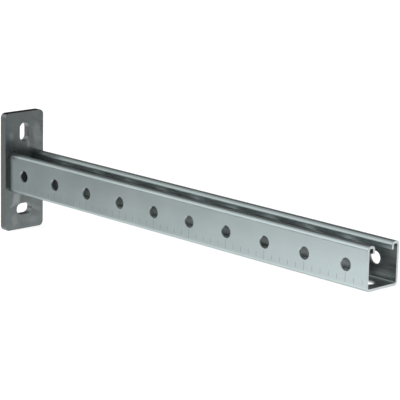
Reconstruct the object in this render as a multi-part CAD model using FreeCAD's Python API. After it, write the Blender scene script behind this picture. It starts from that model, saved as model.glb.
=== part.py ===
"""Cantilever strut arm: a slotted channel welded square to an upright base plate. Sizes in millimetres.

The origin is the centre of the plate's wall face. +X runs along the arm, away from the wall, and +Z is up.
"""
import FreeCAD, Part
import math
import os

# Channel
ARM_LENGTH = 500.0
CHANNEL_WIDTH = 41.0
CHANNEL_HEIGHT = 41.0
SHEET = 2.5
INSIDE_BEND = 1.5
MOUTH_WIDTH = 22.0
LIP_DEPTH = 7.4

# Holes through the side walls and slots through the web, on one pitch
HOLE_PITCH = 50.0
FIRST_HOLE = 25.0
HOLE_DIAMETER = 12.0
WEB_SLOT_LENGTH = 30.0
WEB_SLOT_WIDTH = 14.0
END_LAND = 5.0

# Base plate
PLATE_HEIGHT = 125.0
PLATE_WIDTH = 50.0
PLATE_THICKNESS = 8.0
PLATE_CORNER = 5.0
PLATE_EDGE = 0.6
FIXING_PITCH = 82.0
FIXING_LENGTH = 20.0
FIXING_WIDTH = 12.0

# Fillet welds
WELD_LEG = 3.0
WELD_CROWN = 0.4

# The most of a side that one rounding may take, and the shortest length that counts
ROUNDING_SHARE = 0.4
TOLERANCE = 1e-4

ALONG_ARM = FreeCAD.Vector(1, 0, 0)
ACROSS = FreeCAD.Vector(0, 1, 0)
UP = FreeCAD.Vector(0, 0, 1)


def lip_width():
    """How far each lip reaches in over the channel from the outside of its wall."""
    return (CHANNEL_WIDTH - MOUTH_WIDTH) / 2


def outside_bend():
    """Outside radius of every fold, held to what the narrow top of the lip leaves room for."""
    return min(INSIDE_BEND + SHEET, lip_width() / 2)


def turned_left(heading):
    """The heading after a quarter turn to the left, as the section is drawn in the YZ plane."""
    return FreeCAD.Vector(0, -heading.z, heading.y)


def fold_line(inset):
    """Edges of the folded face that lies inset deep in the sheet, traced from one lip's edge to the other's."""
    bend = outside_bend()
    radius = bend - inset
    lip = LIP_DEPTH - bend
    top = lip_width() - 2 * bend
    wall = CHANNEL_HEIGHT - 2 * bend
    web = CHANNEL_WIDTH - 2 * bend
    point = FreeCAD.Vector(0, -MOUTH_WIDTH / 2 - inset, CHANNEL_HEIGHT / 2 - LIP_DEPTH)
    heading = UP
    edges = []
    for run in (lip, top, wall, web, wall, top, lip):
        if edges:
            left = turned_left(heading)
            centre = point + left * radius
            middle = centre + (heading - left) * (radius / math.sqrt(2))
            after = centre + heading * radius
            edges.append(Part.Arc(point, middle, after).toShape())
            point = after
            heading = left
        if run > TOLERANCE:
            after = point + heading * run
            edges.append(Part.makeLine(point, after))
            point = after
    return edges


def folded_section():
    """The channel's section at the plate, as a face one sheet thick."""
    outer = fold_line(0.0)
    inner = fold_line(SHEET)
    first_edge = Part.makeLine(outer[0].firstVertex().Point, inner[0].firstVertex().Point)
    last_edge = Part.makeLine(outer[-1].lastVertex().Point, inner[-1].lastVertex().Point)
    ring = Part.__sortEdges__(outer + [last_edge] + inner + [first_edge])
    return Part.Face(Part.Wire(ring))


def slot_cutter(face_centre, length, width, along, through, thickness):
    """A round-ended cutter for a slot that enters at face_centre. It stands out one thickness on each side."""
    start = face_centre - through * thickness
    across = through.cross(along)
    reach = along * ((length - width) / 2)
    side = across * (width / 2)
    ends = []
    for way in (1, -1):
        ends.append(Part.Arc(
            start + reach * way - side * way,
            start + (reach + along * (width / 2)) * way,
            start + reach * way + side * way,
        ).toShape())
    sides = [
        Part.makeLine(start + reach + side, start - reach + side),
        Part.makeLine(start - reach - side, start + reach - side),
    ]
    outline = Part.Wire(Part.__sortEdges__(ends + sides))
    return Part.Face(outline).extrude(through * (3 * thickness))


def hole_stations():
    """Distances along X of the holes, from the wall. Past the last slot some whole metal is left."""
    room = ARM_LENGTH - FIRST_HOLE - WEB_SLOT_LENGTH / 2 - END_LAND
    count = int(room // HOLE_PITCH) + 1
    return [PLATE_THICKNESS + FIRST_HOLE + i * HOLE_PITCH for i in range(count)]


def strut_channel():
    """The folded channel, with a round hole through both walls and a slot through the web at every station."""
    section = folded_section()
    section.translate(ALONG_ARM * PLATE_THICKNESS)
    blank = section.extrude(ALONG_ARM * ARM_LENGTH)
    cutters = []
    for x in hole_stations():
        start = FreeCAD.Vector(x, -CHANNEL_WIDTH, 0)
        cutters.append(Part.makeCylinder(HOLE_DIAMETER / 2, 2 * CHANNEL_WIDTH, start, ACROSS))
        underside = FreeCAD.Vector(x, 0, -CHANNEL_HEIGHT / 2)
        cutters.append(slot_cutter(underside, WEB_SLOT_LENGTH, WEB_SLOT_WIDTH, ALONG_ARM, UP, SHEET))
    return blank.cut(cutters)


def edges_along(shape, direction):
    """Straight edges of a shape that run in the given direction."""
    straight = [edge for edge in shape.Edges if isinstance(edge.Curve, Part.Line)]
    return [edge for edge in straight if edge.Curve.Direction.cross(direction).Length < TOLERANCE]


def base_plate():
    """The upright plate with rounded corners and softened edges, an upright slot above and a level slot below."""
    corner = FreeCAD.Vector(0, -PLATE_WIDTH / 2, -PLATE_HEIGHT / 2)
    plate = Part.makeBox(PLATE_THICKNESS, PLATE_WIDTH, PLATE_HEIGHT, corner)
    plate = plate.makeFillet(min(PLATE_CORNER, ROUNDING_SHARE * PLATE_WIDTH), edges_along(plate, ALONG_ARM))
    rims = [edge for edge in plate.Edges if edge.BoundBox.XLength < TOLERANCE]
    plate = plate.makeFillet(min(PLATE_EDGE, ROUNDING_SHARE * PLATE_THICKNESS), rims)
    above = UP * (FIXING_PITCH / 2)
    upper = slot_cutter(above, FIXING_LENGTH, FIXING_WIDTH, UP, ALONG_ARM, PLATE_THICKNESS)
    lower = slot_cutter(-above, FIXING_LENGTH, FIXING_WIDTH, ACROSS, ALONG_ARM, PLATE_THICKNESS)
    return plate.cut([upper, lower])


def weld_face(root, outward):
    """The weld's section at root, where the channel's outside meets the plate: a triangle with a crowned face."""
    on_plate = root + outward * WELD_LEG
    on_channel = root + ALONG_ARM * WELD_LEG
    middle = (on_plate + on_channel) * 0.5
    crown = middle + (outward + ALONG_ARM) * (WELD_CROWN / math.sqrt(2))
    outline = Part.Wire([
        Part.makeLine(root, on_plate),
        Part.Arc(on_plate, crown, on_channel).toShape(),
        Part.makeLine(on_channel, root),
    ])
    return Part.Face(outline)


def weld_bead(side):
    """A straight bead up the flat of one side wall. side is -1 for the near wall and 1 for the far one."""
    run = CHANNEL_HEIGHT - 2 * outside_bend()
    root = FreeCAD.Vector(PLATE_THICKNESS, side * CHANNEL_WIDTH / 2, -run / 2)
    return weld_face(root, ACROSS * side).extrude(UP * run)


def main():
    os.makedirs("parts", exist_ok=True)
    parts = {
        "base_plate": base_plate(),
        "strut_channel": strut_channel(),
        "weld_bead": weld_bead(-1),
        "weld_bead_far": weld_bead(1),
    }
    for name, shape in parts.items():
        solid = shape.Solids[0]
        print(name, "solids", len(shape.Solids), "valid", solid.isValid(), "volume", round(solid.Volume, 1))
        solid.exportStep("parts/" + name + ".step")


main()
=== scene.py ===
"""Cantilever strut arm, dressed: folded channel, base plate, welds and scale marks. In metres."""
import math

import bpy
from mathutils import Matrix, Vector


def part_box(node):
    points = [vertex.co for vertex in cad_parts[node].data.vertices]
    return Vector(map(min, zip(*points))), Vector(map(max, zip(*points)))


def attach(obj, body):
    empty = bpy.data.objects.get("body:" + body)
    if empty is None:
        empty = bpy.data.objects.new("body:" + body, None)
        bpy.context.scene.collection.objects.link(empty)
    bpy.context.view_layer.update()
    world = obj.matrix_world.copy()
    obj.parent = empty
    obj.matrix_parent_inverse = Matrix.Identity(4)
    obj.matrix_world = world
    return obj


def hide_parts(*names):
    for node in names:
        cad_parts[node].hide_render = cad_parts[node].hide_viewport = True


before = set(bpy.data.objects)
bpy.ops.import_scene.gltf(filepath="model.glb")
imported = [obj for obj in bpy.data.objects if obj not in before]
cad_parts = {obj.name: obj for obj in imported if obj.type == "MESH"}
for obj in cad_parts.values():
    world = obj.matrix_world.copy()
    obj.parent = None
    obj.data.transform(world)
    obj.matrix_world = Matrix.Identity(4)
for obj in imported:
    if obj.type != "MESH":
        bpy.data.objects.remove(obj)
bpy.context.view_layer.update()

MM = 0.001
TOUCHING = 0.01 * MM

# Channel stock
SHEET = 2.5 * MM
FOLD_RADIUS = 4.0 * MM
MOUTH = 22.0 * MM
LIP_DEPTH = 7.4 * MM
FOLD_STEPS = 10
DEBURR = 0.4 * MM
DEBURR_STEPS = 2

# Holes and slots. A slot's rounded corners stop just short of each other.
PITCH = 50.0 * MM
FIRST_HOLE = 25.0 * MM
HOLE_COUNT = 10
HOLE_DIAMETER = 12.0 * MM
HOLE_SIDES = 64
WEB_SLOT = (30.0 * MM, 14.0 * MM)
FIXING_SLOT = (20.0 * MM, 12.0 * MM)
FIXING_PITCH = 82.0 * MM
SLOT_STEPS = 16
SLOT_ROUNDING = 0.9995

# Base plate
PLATE_CORNER = 5.0 * MM
PLATE_CORNER_STEPS = 10
PLATE_EDGE = 0.6 * MM
PLATE_EDGE_STEPS = 3

# Angles between faces, in degrees: sharper edges are broken, flatter ones are shaded smooth
BROKEN_OVER = 40
SMOOTH_UNDER = 35
WELD_SMOOTH_UNDER = 50

# Lighter crystals, and one lighter streak, in the plate's zinc, in millimetres: middle (y, z), half sizes,
# turn in degrees, gain.
# Each is full inside the first share of its half sizes and gone past the second.
CRYSTALS = (
    ((-10.6, -29.4), (4.3, 5.6), -12, 0.72),
    ((-15.6, -36.0), (3.4, 1.5), 28, 0.50),
    ((13.5, -41.5), (8.5, 2.0), -24, 0.30),
    ((17.0, 37.5), (5.0, 8.5), 14, 0.42),
    ((15.5, 47.0), (2.0, 4.0), 5, 0.22),
    ((-17.2, 38.2), (2.6, 3.4), 10, 0.34),
    # A narrow lighter streak on the plate, just above the arm.
    ((5.4, 27.5), (1.6, 4.2), 4, 0.50),
    ((-13.0, -52.0), (3.5, 5.0), 20, 0.28),
    ((10.5, -54.0), (6.0, 3.0), -4, 0.24),
    ((6.5, -47.6), (2.2, 2.2), 40, 0.20),
)
CRYSTAL_EDGE = (0.55, 1.45)

# Welds: flattened drops of weld metal laid across the corner and melted together. The last number below is
# how far from the plate the channel's zinc is painted darker, as painted shade where the arm meets the
# plate.
DROP_HALF = (4.7 * MM, 2.0 * MM, 2.1 * MM)
DROP_SEGMENTS = 32
DROP_RINGS = 16
WELD_STEP = 1.5 * MM
WELD_UNEVEN = 0.15 * MM
WELD_VOXEL = 0.22 * MM
CORNER_SHADE_REACH = 9.0 * MM

# Scale marks: their bottoms and tops from the arm's middle line, and how many short ones flank a long one
MARK_PITCH = 10.0 * MM
MARKS_BESIDE_HOLE = 2
MARK_WIDTH = 0.35 * MM
MARK_RELIEF = 0.02 * MM
SHORT_MARK = (-14.7 * MM, -10.2 * MM)
LONG_MARK = (-16.0 * MM, -7.3 * MM)

# Studio: soft round lights that the metal sees, where a level of 1 is white. Each has the azimuth and
# elevation of its middle, the degrees from there within which it is full and past which it is gone, and
# its level. In order they stand in front and high, in front and low, overhead, past the free end,
# underneath and behind. ROOM is the level between them, and BRIGHTEST the most that they reach together.
# FLOOR_GLOW is what the floor adds for the camera alone.
SOFT_LIGHTS = (
    ((-26, 29), (21, 30), 1.35),
    ((-23, -27), (16, 29), 1.35),
    ((-36, 65), (18, 49), 0.60),
    ((81, 31), (23, 46), 0.25),
    ((152, -80), (64, 75), 0.60),
    ((178, -16), (29, 46), 1.20),
)
ROOM = 0.08
BRIGHTEST = 1.35
FLOOR_SIZE = 12.0
FLOOR_X = 0.2
FLOOR_PAINT = (0.8, 0.8, 0.8, 1)
FLOOR_GLOW = 0.80
WHITE = (1, 1, 1, 1)
BLACK = (0, 0, 0, 1)

# Camera: degrees, metres and the lens for a sensor 36 mm wide
VIEW = (46.385, 12.935)
ROLL = 1.295
TARGET = (0.2759, 0.0, 0.0168)
DISTANCE = 1.8634
LENS = 176.46
SENSOR = 36.0

plate_low, plate_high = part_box("base_plate")
arm_low, arm_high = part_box("strut_channel")
arm_size = arm_high - arm_low
first_hole_x = arm_low.x + FIRST_HOLE


def deselect():
    if bpy.context.object and bpy.context.object.mode != "OBJECT":
        bpy.ops.object.mode_set(mode="OBJECT")
    bpy.ops.object.select_all(action="DESELECT")


def activate(piece):
    deselect()
    piece.select_set(True)
    bpy.context.view_layer.objects.active = piece


def settle(piece):
    """Leaves the piece at the origin, unturned and unscaled, with its place in its mesh."""
    activate(piece)
    bpy.ops.object.transform_apply(location=True, rotation=True, scale=True)


def block(name, low, high):
    """A box between two corners, ready to be shaped."""
    deselect()
    bpy.ops.mesh.primitive_cube_add(size=1.0, location=(low + high) / 2)
    piece = bpy.context.object
    piece.name = name
    piece.scale = high - low
    settle(piece)
    return piece


def pick(piece, kind, wanted):
    """Selects, in edit mode, the edges whose two ends pass the test, or the faces whose middle does."""
    activate(piece)
    bpy.ops.object.mode_set(mode="EDIT")
    bpy.ops.mesh.select_mode(type=kind)
    bpy.ops.mesh.select_all(action="DESELECT")
    bpy.ops.object.mode_set(mode="OBJECT")
    mesh = piece.data
    if kind == "EDGE":
        for edge in mesh.edges:
            edge.select = wanted(*(mesh.vertices[end].co for end in edge.vertices))
    else:
        for face in mesh.polygons:
            face.select = wanted(face.center)
    bpy.ops.object.mode_set(mode="EDIT")


def near(first, second):
    """Whether two measures agree."""
    return abs(first - second) < TOUCHING


def apply_modifier(piece, kind, **settings):
    activate(piece)
    modifier = piece.modifiers.new(kind.lower(), kind)
    for key, value in settings.items():
        setattr(modifier, key, value)
    bpy.ops.object.modifier_apply(modifier=modifier.name)


def cut(piece, cutter):
    """Takes the cutter's shape out of the piece. The cut's walls keep the cutter's material."""
    apply_modifier(piece, "BOOLEAN", operation="DIFFERENCE", object=cutter, solver="EXACT",
                   material_mode="TRANSFER")
    bpy.data.objects.remove(cutter)


def repeat(piece, count, step):
    """Copies the piece in a row, each copy one step on from the last."""
    apply_modifier(piece, "ARRAY", count=count, use_relative_offset=False, use_constant_offset=True,
                   constant_offset_displace=step)


def round_cutter(centre, diameter, depth, material):
    """A round bar across the arm."""
    deselect()
    bpy.ops.mesh.primitive_cylinder_add(vertices=HOLE_SIDES, radius=diameter / 2, depth=depth,
                                        location=centre, rotation=(math.radians(90), 0, 0))
    cutter = bpy.context.object
    settle(cutter)
    cutter.data.materials.append(material)
    return cutter


def slot_cutter(centre, size, through, material):
    """A round-ended block: its edges along the through axis are rounded until its ends are half circles."""
    half = Vector(size) / 2
    cutter = block("slot_cutter", centre - half, centre + half)
    cutter.data.materials.append(material)
    across = [axis for axis in range(3) if axis != through]
    radius = min(half[axis] for axis in across)
    pick(cutter, "EDGE", lambda start, end: all(near(start[axis], end[axis]) for axis in across))
    bpy.ops.mesh.bevel(offset=radius * SLOT_ROUNDING, segments=SLOT_STEPS, affect="EDGES")
    bpy.ops.object.mode_set(mode="OBJECT")
    return cutter


def soften(piece, width, steps):
    """Breaks every sharp edge, as tumbling and zinc do, and keeps the flat faces flat in the shading."""
    apply_modifier(piece, "BEVEL", width=width, segments=steps, limit_method="ANGLE",
                   angle_limit=math.radians(BROKEN_OVER))
    activate(piece)
    bpy.ops.object.shade_smooth_by_angle(angle=math.radians(SMOOTH_UNDER))
    apply_modifier(piece, "WEIGHTED_NORMAL", mode="FACE_AREA", weight=100, keep_sharp=True)


def folded_sheet():
    """The channel's outside as a sheet with no thickness: web, walls, tops and lips, with round folds."""
    sheet = block("channel", arm_low, arm_high)
    activate(sheet)
    bpy.ops.object.mode_set(mode="EDIT")
    for side in (-1, 1):
        bpy.ops.mesh.select_all(action="SELECT")
        bpy.ops.mesh.bisect(plane_co=(0, side * MOUTH / 2, 0), plane_no=(0, 1, 0))
    pick(sheet, "FACE", lambda middle: near(middle.x, arm_low.x) or near(middle.x, arm_high.x))
    bpy.ops.mesh.delete(type="FACE")
    pick(sheet, "FACE", lambda middle: near(middle.z, arm_high.z) and abs(middle.y) < MOUTH / 2)
    bpy.ops.mesh.delete(type="FACE")
    pick(sheet, "EDGE", lambda *ends: all(
        near(abs(end.y), MOUTH / 2) and near(end.z, arm_high.z) for end in ends))
    bpy.ops.mesh.extrude_edges_move(TRANSFORM_OT_translate={"value": (0, 0, -LIP_DEPTH)})
    folds = ((arm_high.y, arm_low.z), (arm_high.y, arm_high.z), (MOUTH / 2, arm_high.z))
    pick(sheet, "EDGE", lambda start, end: not near(start.x, end.x) and any(
        near(abs(start.y), y) and near(start.z, z) and near(end.z, z) for y, z in folds))
    bpy.ops.mesh.bevel(offset=FOLD_RADIUS, segments=FOLD_STEPS, affect="EDGES")
    bpy.ops.mesh.select_all(action="SELECT")
    bpy.ops.mesh.normals_make_consistent(inside=False)
    bpy.ops.object.mode_set(mode="OBJECT")
    return sheet


def channel(zinc, inside, cut_edge, punched):
    """The folded sheet made solid, then pierced. Outside, inside, sawn ends and cuts differ in finish."""
    piece = folded_sheet()
    for material in (zinc, inside, cut_edge):
        piece.data.materials.append(material)
    apply_modifier(piece, "SOLIDIFY", thickness=SHEET, offset=-1.0, use_even_offset=True, material_offset=1,
                   material_offset_rim=2)
    holes = round_cutter((first_hole_x, 0, 0), HOLE_DIAMETER, 2 * arm_size.y, punched)
    slots = slot_cutter(Vector((first_hole_x, 0, arm_low.z)), (*WEB_SLOT, 4 * SHEET), 2, punched)
    for cutters in (holes, slots):
        repeat(cutters, HOLE_COUNT, (PITCH, 0, 0))
        cut(piece, cutters)
    soften(piece, DEBURR, DEBURR_STEPS)
    return piece


def base_plate(zinc, rim):
    """The plate with rounded corners and two slots, duller on its rim and slot walls than on its faces."""
    piece = block("plate", plate_low, plate_high)
    piece.data.materials.append(zinc)
    piece.data.materials.append(rim)
    pick(piece, "FACE", lambda middle: plate_low.x + TOUCHING < middle.x < plate_high.x - TOUCHING)
    piece.active_material_index = 1
    bpy.ops.object.material_slot_assign()
    pick(piece, "EDGE", lambda start, end: near(start.y, end.y) and near(start.z, end.z))
    bpy.ops.mesh.bevel(offset=PLATE_CORNER, segments=PLATE_CORNER_STEPS, affect="EDGES")
    bpy.ops.object.mode_set(mode="OBJECT")
    middle = (plate_low + plate_high) / 2
    depth = 3 * (plate_high.x - plate_low.x)
    length, width = FIXING_SLOT
    above = Vector((0, 0, FIXING_PITCH / 2))
    cut(piece, slot_cutter(middle + above, (depth, width, length), 0, rim))
    cut(piece, slot_cutter(middle - above, (depth, length, width), 0, rim))
    soften(piece, PLATE_EDGE, PLATE_EDGE_STEPS)
    return piece


def weld(zinc):
    """The near bead: overlapping drops up the corner, melted into one and cut along wall and plate.

    A cut takes points within 0.1 mm of its plane as on it, so the flat sides are uneven by that much and
    some faces at their edges are doubled. The count of drops is cut off and not rounded, so the top end is
    a round one, 0.9 mm short of the solid's.
    """
    low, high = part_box("weld_bead")
    deselect()
    bpy.ops.mesh.primitive_uv_sphere_add(
        segments=DROP_SEGMENTS, ring_count=DROP_RINGS, radius=1.0, rotation=(0, 0, math.radians(45)),
        location=(low.x, high.y, low.z + WELD_STEP))
    bead = bpy.context.object
    bead.name = "weld"
    bead.scale = DROP_HALF
    settle(bead)
    repeat(bead, int((high.z - low.z) / WELD_STEP) - 1, (0, 0, WELD_STEP))
    apply_modifier(bead, "REMESH", mode="VOXEL", voxel_size=WELD_VOXEL)
    clouds = bpy.data.textures.new("weld_clouds", "CLOUDS")
    clouds.noise_scale = 3 * WELD_STEP
    apply_modifier(bead, "DISPLACE", texture=clouds, strength=WELD_UNEVEN, mid_level=0.5,
                   texture_coords="GLOBAL")
    bpy.ops.object.mode_set(mode="EDIT")
    for corner, normal in ((low, (1, 0, 0)), (high, (0, -1, 0)), (low, (0, 0, 1)), (high, (0, 0, -1))):
        bpy.ops.mesh.select_all(action="SELECT")
        bpy.ops.mesh.bisect(plane_co=corner, plane_no=normal, use_fill=True, clear_inner=True)
    bpy.ops.object.mode_set(mode="OBJECT")
    bead.data.materials.append(zinc)
    bpy.ops.object.shade_smooth_by_angle(angle=math.radians(WELD_SMOOTH_UNDER))
    return bead


def far_weld(near_bead):
    """The bead in the far corner: a mirrored copy of the near one."""
    bead = near_bead.copy()
    bead.data = near_bead.data.copy()
    bead.name = "weld_far"
    bpy.context.scene.collection.objects.link(bead)
    bead.scale = (1, -1, 1)
    settle(bead)
    bpy.ops.object.mode_set(mode="EDIT")
    bpy.ops.mesh.select_all(action="SELECT")
    bpy.ops.mesh.normals_make_consistent(inside=False)
    bpy.ops.object.mode_set(mode="OBJECT")
    return bead


def scale_marks(etch):
    """Thin marks on the near wall: a long one under each hole, with short ones to both sides."""
    face = arm_low.y
    bars = []
    for steps in range(-MARKS_BESIDE_HOLE, MARKS_BESIDE_HOLE + 1):
        x = first_hole_x + steps * MARK_PITCH
        bottom, top = SHORT_MARK if steps else LONG_MARK
        low = Vector((x - MARK_WIDTH / 2, face - MARK_RELIEF, bottom))
        high = Vector((x + MARK_WIDTH / 2, face + MARK_RELIEF, top))
        bars.append(block("mark", low, high))
    activate(bars[0])
    for bar in bars:
        bar.select_set(True)
    bpy.ops.object.join()
    marks = bpy.context.object
    marks.name = "scale_marks"
    marks.data.materials.append(etch)
    repeat(marks, HOLE_COUNT, (PITCH, 0, 0))
    return marks


def mm(*values):
    """Millimetres, as the frame's metres."""
    return tuple(value * MM for value in values)


class Shader:
    """Nodes of one material or world, with short calls that add and link them."""

    def __init__(self, owner):
        owner.use_nodes = True
        self.owner = owner
        self.tree = owner.node_tree
        self.tree.nodes.clear()

    def node(self, kind, **settings):
        made = self.tree.nodes.new(kind)
        for key, value in settings.items():
            setattr(made, key, value)
        return made

    def join(self, value, socket):
        """Links an output to a socket, or sets the socket to a plain value."""
        if isinstance(value, bpy.types.NodeSocket):
            self.tree.links.new(value, socket)
        else:
            socket.default_value = value

    def math(self, operation, *values):
        made = self.node("ShaderNodeMath", operation=operation)
        for value, socket in zip(values, made.inputs):
            self.join(value, socket)
        return made.outputs[0]

    def spread(self, value, low, high, to_low=0.0, to_high=1.0, smooth=False):
        """The value's place between low and high, as a number from to_low to to_high."""
        made = self.node("ShaderNodeMapRange", interpolation_type="SMOOTHSTEP" if smooth else "LINEAR")
        for key, given in (("Value", value), ("From Min", low), ("From Max", high), ("To Min", to_low),
                           ("To Max", to_high)):
            self.join(given, made.inputs[key])
        return made.outputs["Result"]

    def vary(self, noise, low=0.0, high=1.0, reach=0.2):
        """A number from low to high as the noise goes from one reach below its middle to one above."""
        return self.spread(noise, 0.5 - reach, 0.5 + reach, low, high)

    def blend(self, first, second, share):
        """A sum of two numbers, in which the second has the given share."""
        parts = (self.math("MULTIPLY", first, 1 - share), self.math("MULTIPLY", second, share))
        return self.math("ADD", *parts)

    def mix(self, factor, first, second):
        made = self.node("ShaderNodeMix", data_type="RGBA")
        for given, socket in ((factor, made.inputs[0]), (first, made.inputs[6]), (second, made.inputs[7])):
            self.join(given, socket)
        return made.outputs[2]

    def place(self, scale=(1.0, 1.0, 1.0)):
        """Object coordinates in metres, stretched by a scale."""
        coords = self.node("ShaderNodeTexCoord")
        mapping = self.node("ShaderNodeMapping")
        mapping.inputs["Scale"].default_value = scale
        self.join(coords.outputs["Object"], mapping.inputs["Vector"])
        return mapping.outputs["Vector"]

    def along(self, axis):
        """The place along x, from the wall, or along y or z, from the arm's middle line."""
        parts = self.node("ShaderNodeSeparateXYZ")
        self.join(self.place(), parts.inputs[0])
        return parts.outputs[axis.upper()]

    def aside(self):
        """The distance from the arm's middle plane, to either side."""
        return self.math("ABSOLUTE", self.along("y"))

    def zone(self, strength, smooth=False, **ramps):
        """A strength that holds in one zone. A ramp, named x, y, z or aside, gives the places where the
        strength is nothing and where it is full and, for a band, where it is last full and where it ends.
        """
        for name, (nothing, full, *fade) in ramps.items():
            place = self.aside() if name == "aside" else self.along(name)
            ramp = self.spread(place, nothing, full, smooth=smooth)
            if fade:
                last_full, end = fade
                ramp = self.math("MULTIPLY", ramp, self.spread(place, end, last_full, smooth=smooth))
            strength = self.math("MULTIPLY", strength, ramp)
        return strength

    def noise(self, place, size, detail=2.0, roughness=0.5):
        made = self.node("ShaderNodeTexNoise")
        self.join(place, made.inputs["Vector"])
        made.inputs["Scale"].default_value = 1 / size
        made.inputs["Detail"].default_value = detail
        made.inputs["Roughness"].default_value = roughness
        return made.outputs["Fac"]

    def cells(self, place, size):
        made = self.node("ShaderNodeTexVoronoi")
        self.join(place, made.inputs["Vector"])
        made.inputs["Scale"].default_value = 1 / size
        shade = self.node("ShaderNodeSeparateColor")
        self.join(made.outputs["Color"], shade.inputs[0])
        return shade.outputs[0]

    def crystal(self, place, middle, half, turn):
        """1 inside a turned rectangle on the plate's face, fading out at its edge."""
        mapping = self.node("ShaderNodeMapping", vector_type="TEXTURE")
        self.join(place, mapping.inputs["Vector"])
        mapping.inputs["Location"].default_value = (0, *mm(*middle))
        mapping.inputs["Rotation"].default_value = (math.radians(turn), 0, 0)
        mapping.inputs["Scale"].default_value = (1, *mm(*half))
        parts = self.node("ShaderNodeSeparateXYZ")
        self.join(mapping.outputs[0], parts.inputs[0])
        sides = (self.math("ABSOLUTE", parts.outputs[name]) for name in ("Y", "Z"))
        full, gone = CRYSTAL_EDGE
        return self.spread(self.math("MAXIMUM", *sides), gone, full, smooth=True)

    def wavy(self, place, size, reach):
        """The place, pushed about by noise so that straight edges waver."""
        noise = self.node("ShaderNodeTexNoise")
        self.join(place, noise.inputs["Vector"])
        noise.inputs["Scale"].default_value = 1 / size
        push = self.node("ShaderNodeVectorMath", operation="MULTIPLY_ADD")
        self.join(noise.outputs["Color"], push.inputs[0])
        push.inputs[1].default_value = (2 * reach,) * 3
        push.inputs[2].default_value = (-reach,) * 3
        added = self.node("ShaderNodeVectorMath", operation="ADD")
        self.join(place, added.inputs[0])
        self.join(push.outputs[0], added.inputs[1])
        return added.outputs[0]

    def tinted(self, level, tint):
        """A grey level with a tint, as a colour."""
        colour = self.node("ShaderNodeCombineColor")
        for share, socket in zip(tint, colour.inputs):
            self.join(self.math("MULTIPLY", level, share), socket)
        return colour.outputs[0]

    def bump(self, height, depth):
        made = self.node("ShaderNodeBump")
        made.inputs["Distance"].default_value = depth
        self.join(height, made.inputs["Height"])
        return made.outputs["Normal"]

    def grainy(self, size, darker, lighter):
        """A fine grain and the colour that follows it."""
        grain = self.noise(self.place(), size, detail=3.0)
        return grain, self.mix(grain, darker, lighter)

    def metal(self, colour, roughness, normal=None, metallic=1.0):
        """Finishes the material as metal and hands it over."""
        made = self.node("ShaderNodeBsdfPrincipled")
        made.inputs["Metallic"].default_value = metallic
        self.join(colour, made.inputs["Base Color"])
        self.join(roughness, made.inputs["Roughness"])
        if normal is not None:
            self.join(normal, made.inputs["Normal"])
        out = self.node("ShaderNodeOutputMaterial")
        self.join(made.outputs[0], out.inputs["Surface"])
        return self.owner


def channel_zinc():
    """Smooth strip zinc, drawn along the arm, with painted shade by the plate, walls and lips and a painted
    highlight on top.
    """
    look = Shader(bpy.data.materials.new("channel_zinc"))
    streaks = look.noise(look.place(scale=(0.08, 1.0, 1.0)), size=3.0 * MM, detail=3.0)
    tone = look.blend(streaks, look.noise(look.place(), size=30.0 * MM), share=0.65)
    darker, lighter = (0.65, 0.75, 0.755, 1), (0.70, 0.805, 0.81, 1)
    colour = look.mix(look.vary(tone), darker, lighter)
    # Painted shade: the walls and upper folds next to the plate are painted towards dark grey.
    painted_corner_shade = look.zone(0.8, smooth=True, x=(arm_low.x + CORNER_SHADE_REACH, arm_low.x))
    painted_top_corner_shade = look.zone(0.8, smooth=True, x=(arm_low.x + 2 * CORNER_SHADE_REACH, arm_low.x + CORNER_SHADE_REACH / 2),
                           z=mm(13, 18))
    corner_shade_grey = (0.20, 0.22, 0.22, 1)
    colour = look.mix(look.math("MAXIMUM", painted_corner_shade, painted_top_corner_shade), colour, corner_shade_grey)
    # Painted shade, mixed towards black: the upper half of the walls, the folds towards the free end, the
    # lips and the end by the plate.
    upper_walls_shade = look.zone(0.09, smooth=True, z=mm(-4, 15, 15, 17.5))
    outer_tops_shade = look.zone(0.09, x=mm(220, 460), z=mm(15, 17.5))
    lips = look.zone(0.20, aside=mm(13, 12), z=mm(15, 17.5))
    plate_end_shade = look.zone(0.04, x=mm(180, 60))
    # Each of these zones is painted shade.
    for dull in (upper_walls_shade, outer_tops_shade, lips, plate_end_shade):
        colour = look.mix(dull, colour, BLACK)
    # Painted highlight: the flat tops are painted lighter, more so towards the free end, as light from
    # above.
    top_light_share = look.spread(look.along("x"), *mm(20, 300), 0.22, 0.55)
    painted_top_light = look.zone(top_light_share, z=mm(19.7, 20.4), y=mm(17.0, 15.5))
    top_light_colour = (0.90, 1.0, 1.0, 1)
    colour = look.mix(painted_top_light, colour, top_light_colour)
    return look.metal(colour, look.vary(tone, 0.30, 0.35), look.bump(streaks, depth=0.002 * MM))


def inside_zinc():
    """The channel's inside, rougher than its outside and painted darker and greyer as shade, with rolling
    streaks along the arm.
    """
    look = Shader(bpy.data.materials.new("inside_zinc"))
    streaks = look.noise(look.place(scale=(0.15, 1.0, 1.0)), size=4.0 * MM, detail=4.0, roughness=0.6)
    # The inside's colours are painted darker than the outside's, as shade within the channel.
    darker, lighter = (0.37, 0.405, 0.405, 1), (0.53, 0.58, 0.575, 1)
    colour = look.mix(look.vary(streaks), darker, lighter)
    # Painted shade, mixed towards black: the half by the plate, a band in the middle and the low far wall
    # at the free end.
    plate_half_shade = look.zone(0.22, x=mm(270, 180))
    middle = look.zone(0.28, x=mm(270, 295, 370, 410))
    low_free_end_shade = look.zone(0.45, x=mm(450, 475), z=mm(-2, -7, -12, -15))
    for dull in (plate_half_shade, middle, low_free_end_shade):
        colour = look.mix(dull, colour, BLACK)
    return look.metal(colour, look.vary(streaks, 0.30, 0.42), look.bump(streaks, depth=0.01 * MM))


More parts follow.
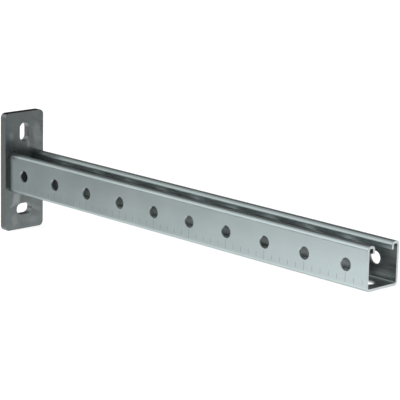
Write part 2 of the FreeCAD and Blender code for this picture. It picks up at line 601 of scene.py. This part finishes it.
def punched_zinc():
    """The walls of the holes and slots: dull, with painted light at the outer rim and painted shade deeper
    in.
    """
    look = Shader(bpy.data.materials.new("punched_zinc"))
    grain, deep_shade = look.grainy(size=1.2 * MM, darker=(0.35, 0.38, 0.38, 1), lighter=(0.43, 0.47, 0.47, 1))
    outwards = look.math("MAXIMUM", look.aside(), look.math("ABSOLUTE", look.along("z")))
    # Painted light at the outer rim of each wall, fading into painted shade deeper in.
    dark_from, light_to = 1.6 * MM, 0.6 * MM
    outer = look.spread(outwards, arm_high.y - dark_from, arm_high.y - light_to, smooth=True)
    rim = (0.92, 0.98, 0.985, 1)
    return look.metal(look.mix(outer, deep_shade, rim), roughness=0.5, normal=look.bump(grain, depth=0.01 * MM))


def cut_zinc():
    """The sawn ends: dull, with light zinc on them."""
    look = Shader(bpy.data.materials.new("cut_zinc"))
    grain, colour = look.grainy(size=1.2 * MM, darker=(0.80, 0.86, 0.865, 1),
                                lighter=(0.86, 0.92, 0.925, 1))
    return look.metal(colour, roughness=0.55, normal=look.bump(grain, depth=0.01 * MM))


def plate_zinc():
    """Hot-dip zinc on the plate's faces: dark, with soft crystals of uneven lightness and painted light
    towards the foot.
    """
    look = Shader(bpy.data.materials.new("plate_zinc"))
    place = look.wavy(look.place(), size=4.0 * MM, reach=1.2 * MM)
    clouds = look.noise(look.place(), size=14.0 * MM, detail=3.0)
    tone = look.blend(look.cells(place, size=9.0 * MM), clouds, share=0.7)
    # Painted light: the faces are painted lighter towards the foot, where more light falls on them.
    painted_light_towards_foot = look.spread(look.along("z"), plate_high.z, plate_low.z, 0.95, 1.12)
    gain = look.math("MULTIPLY", look.vary(tone, 0.90, 1.10, reach=0.25), painted_light_towards_foot)
    for middle, half, turn, lighter in CRYSTALS:
        lift = look.math("MULTIPLY", look.crystal(place, middle, half, turn), lighter)
        gain = look.math("ADD", gain, lift)
    shade = 0.28
    colour = look.tinted(look.math("MULTIPLY", gain, shade), tint=(0.92, 1.02, 1.02))
    roughness = look.vary(tone, 0.26, 0.34, reach=0.25)
    return look.metal(colour, roughness, look.bump(clouds, depth=0.02 * MM), metallic=0.85)


def plate_rim_zinc():
    """The plate's sawn rim and the walls of its slots, duller than its faces, with painted shade along the
    top.
    """
    look = Shader(bpy.data.materials.new("plate_rim_zinc"))
    grain, colour = look.grainy(size=2.5 * MM, darker=(0.31, 0.345, 0.345, 1),
                                lighter=(0.37, 0.41, 0.41, 1))
    # Painted shade: the top edge of the rim is painted nearly black.
    top = look.zone(0.95, z=(plate_high.z - 1.0 * MM, plate_high.z - 0.4 * MM))
    top_shade_colour = (0.02, 0.02, 0.02, 1)
    colour = look.mix(top, colour, top_shade_colour)
    return look.metal(colour, roughness=0.36, normal=look.bump(grain, depth=0.01 * MM))


def weld_zinc():
    """Zinc over weld metal: dull and slightly grainy, painted dark as shade in the corner."""
    look = Shader(bpy.data.materials.new("weld_zinc"))
    # The weld's dark colours are painted shade of the corner between arm and plate.
    grain, colour = look.grainy(size=1.5 * MM, darker=(0.09, 0.10, 0.102, 1),
                                lighter=(0.14, 0.155, 0.157, 1))
    return look.metal(colour, roughness=0.45, normal=look.bump(grain, depth=0.02 * MM))


def mark_etch():
    """The scale marks, a shade darker than the zinc and fainter towards the plate."""
    look = Shader(bpy.data.materials.new("mark_etch"))
    fainter, darker = (0.42, 0.48, 0.485, 1), (0.28, 0.32, 0.325, 1)
    from_plate = look.spread(look.along("x"), arm_low.x, arm_high.x)
    uneven = look.vary(look.noise(look.place(), size=6.0 * MM), -0.15, 0.15)
    return look.metal(look.mix(look.math("ADD", from_plate, uneven), fainter, darker), roughness=0.4)


def pale_floor():
    """White to the camera, with the object's shadow on it, clear from below and lit as plain pale paint."""
    material = bpy.data.materials.new("pale_floor")
    look = Shader(material)
    path = look.node("ShaderNodeLightPath")
    paint = look.node("ShaderNodeBsdfDiffuse")
    paint.inputs["Color"].default_value = FLOOR_PAINT
    glow = look.node("ShaderNodeEmission")
    look.join(look.math("MULTIPLY", path.outputs["Is Camera Ray"], FLOOR_GLOW), glow.inputs["Strength"])
    both = look.node("ShaderNodeAddShader")
    look.join(paint.outputs[0], both.inputs[0])
    look.join(glow.outputs[0], both.inputs[1])
    clear = look.node("ShaderNodeBsdfTransparent")
    sides = look.node("ShaderNodeMixShader")
    look.join(look.node("ShaderNodeNewGeometry").outputs["Backfacing"], sides.inputs[0])
    look.join(both.outputs[0], sides.inputs[1])
    look.join(clear.outputs[0], sides.inputs[2])
    out = look.node("ShaderNodeOutputMaterial")
    look.join(sides.outputs[0], out.inputs["Surface"])
    return material


def floor():
    deselect()
    bpy.ops.mesh.primitive_plane_add(size=FLOOR_SIZE, location=(FLOOR_X, 0, plate_low.z))
    piece = bpy.context.object
    piece.name = "floor"
    settle(piece)
    piece.data.materials.append(pale_floor())
    piece.visible_glossy = False


def way(azimuth, elevation):
    """The direction at some degrees: azimuth 0 is square to the marked wall and 90 faces the free end."""
    azimuth, elevation = math.radians(azimuth), math.radians(elevation)
    flat = math.cos(elevation)
    return Vector((math.sin(azimuth) * flat, -math.cos(azimuth) * flat, math.sin(elevation)))


def soft_light(look, direction, middle, reach, level):
    """A round light that fades from full at its inner reach to nothing at its outer one."""
    dot = look.node("ShaderNodeVectorMath", operation="DOT_PRODUCT")
    look.join(direction, dot.inputs[0])
    dot.inputs[1].default_value = way(*middle)
    full, gone = (math.cos(math.radians(degrees)) for degrees in reach)
    return look.spread(dot.outputs["Value"], gone, full, 0.0, level, smooth=True)


def studio_world():
    """White to the camera. The metal sees a dark room with soft lights all round."""
    world = bpy.data.worlds.new("studio")
    bpy.context.scene.world = world
    look = Shader(world)
    direction = look.node("ShaderNodeTexCoord").outputs["Generated"]
    level = ROOM
    for light in SOFT_LIGHTS:
        level = look.math("ADD", level, soft_light(look, direction, *light))
    level = look.math("MINIMUM", level, BRIGHTEST)
    path = look.node("ShaderNodeLightPath")
    seen_white = look.math("MAXIMUM", path.outputs["Is Camera Ray"], path.outputs["Is Transmission Ray"])
    shaded = look.math("MULTIPLY", level, look.math("SUBTRACT", 1.0, seen_white))
    strength = look.math("ADD", shaded, seen_white)
    background = look.node("ShaderNodeBackground")
    background.inputs["Color"].default_value = WHITE
    look.join(strength, background.inputs["Strength"])
    out = look.node("ShaderNodeOutputWorld")
    look.join(background.outputs[0], out.inputs["Surface"])
    world.cycles.sampling_method = "NONE"


def camera():
    """The photograph's view: a long lens in front of the arm's free end, a little above it."""
    back = way(*VIEW)
    right = Vector((0, 0, 1)).cross(back).normalized()
    up = back.cross(right)
    upright = Matrix((right, up, back)).transposed().to_4x4()
    data = bpy.data.cameras.new("camera")
    data.lens = LENS
    data.sensor_width = SENSOR
    made = bpy.data.objects.new("camera", data)
    bpy.context.scene.collection.objects.link(made)
    made.matrix_world = (Matrix.Translation(Vector(TARGET) + back * DISTANCE) @ upright
                         @ Matrix.Rotation(math.radians(ROLL), 4, "Z"))
    bpy.context.scene.camera = made


def place_piece(piece, node=None):
    """The piece rides on the one body and may stand for a node, whose part it hides."""
    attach(piece, "root")
    if node:
        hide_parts(node)


strut = channel(channel_zinc(), inside_zinc(), cut_zinc(), punched_zinc())
place_piece(strut, "strut_channel")
place_piece(base_plate(plate_zinc(), plate_rim_zinc()), "base_plate")
near_bead = weld(weld_zinc())
place_piece(far_weld(near_bead), "weld_bead_far")
place_piece(near_bead, "weld_bead")
place_piece(scale_marks(mark_etch()))

floor()
studio_world()
camera()
bpy.context.scene.view_settings.view_transform = "Standard"
